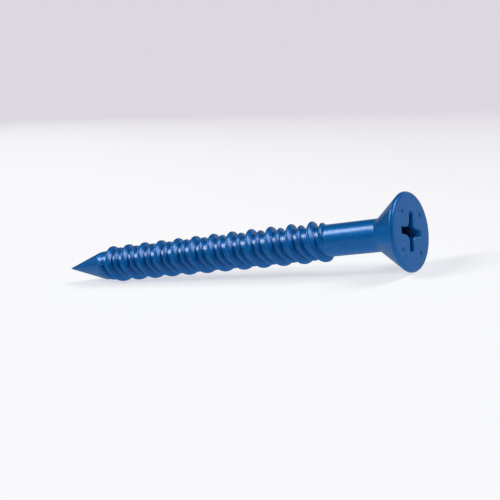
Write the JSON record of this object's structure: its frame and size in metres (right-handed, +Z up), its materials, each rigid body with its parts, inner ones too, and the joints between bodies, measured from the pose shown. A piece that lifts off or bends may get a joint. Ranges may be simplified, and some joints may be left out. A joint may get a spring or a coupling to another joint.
{
  "type": "concrete screw",
  "caption": "Flat-head concrete screw: countersunk head with a cross recess, plain neck, coarse thread of alternating high and low ridges, sharp point. It cuts its own way into a drilled hole.",
  "frame": {"origin": "on the surface the screw lies on, under the middle of its box", "axes": "+X along the length towards the head, +Z up from the surface, the screw's own axis leaning 2.68 degrees up towards the head"},
  "size_m": [0.0704, 0.0116, 0.0117],
  "materials": {
    "blue_coated_steel": "satin blue corrosion coating over steel"
  },
  "bodies": {
    "root": {"screw": "blue_coated_steel"}
  },
  "joints": []
}
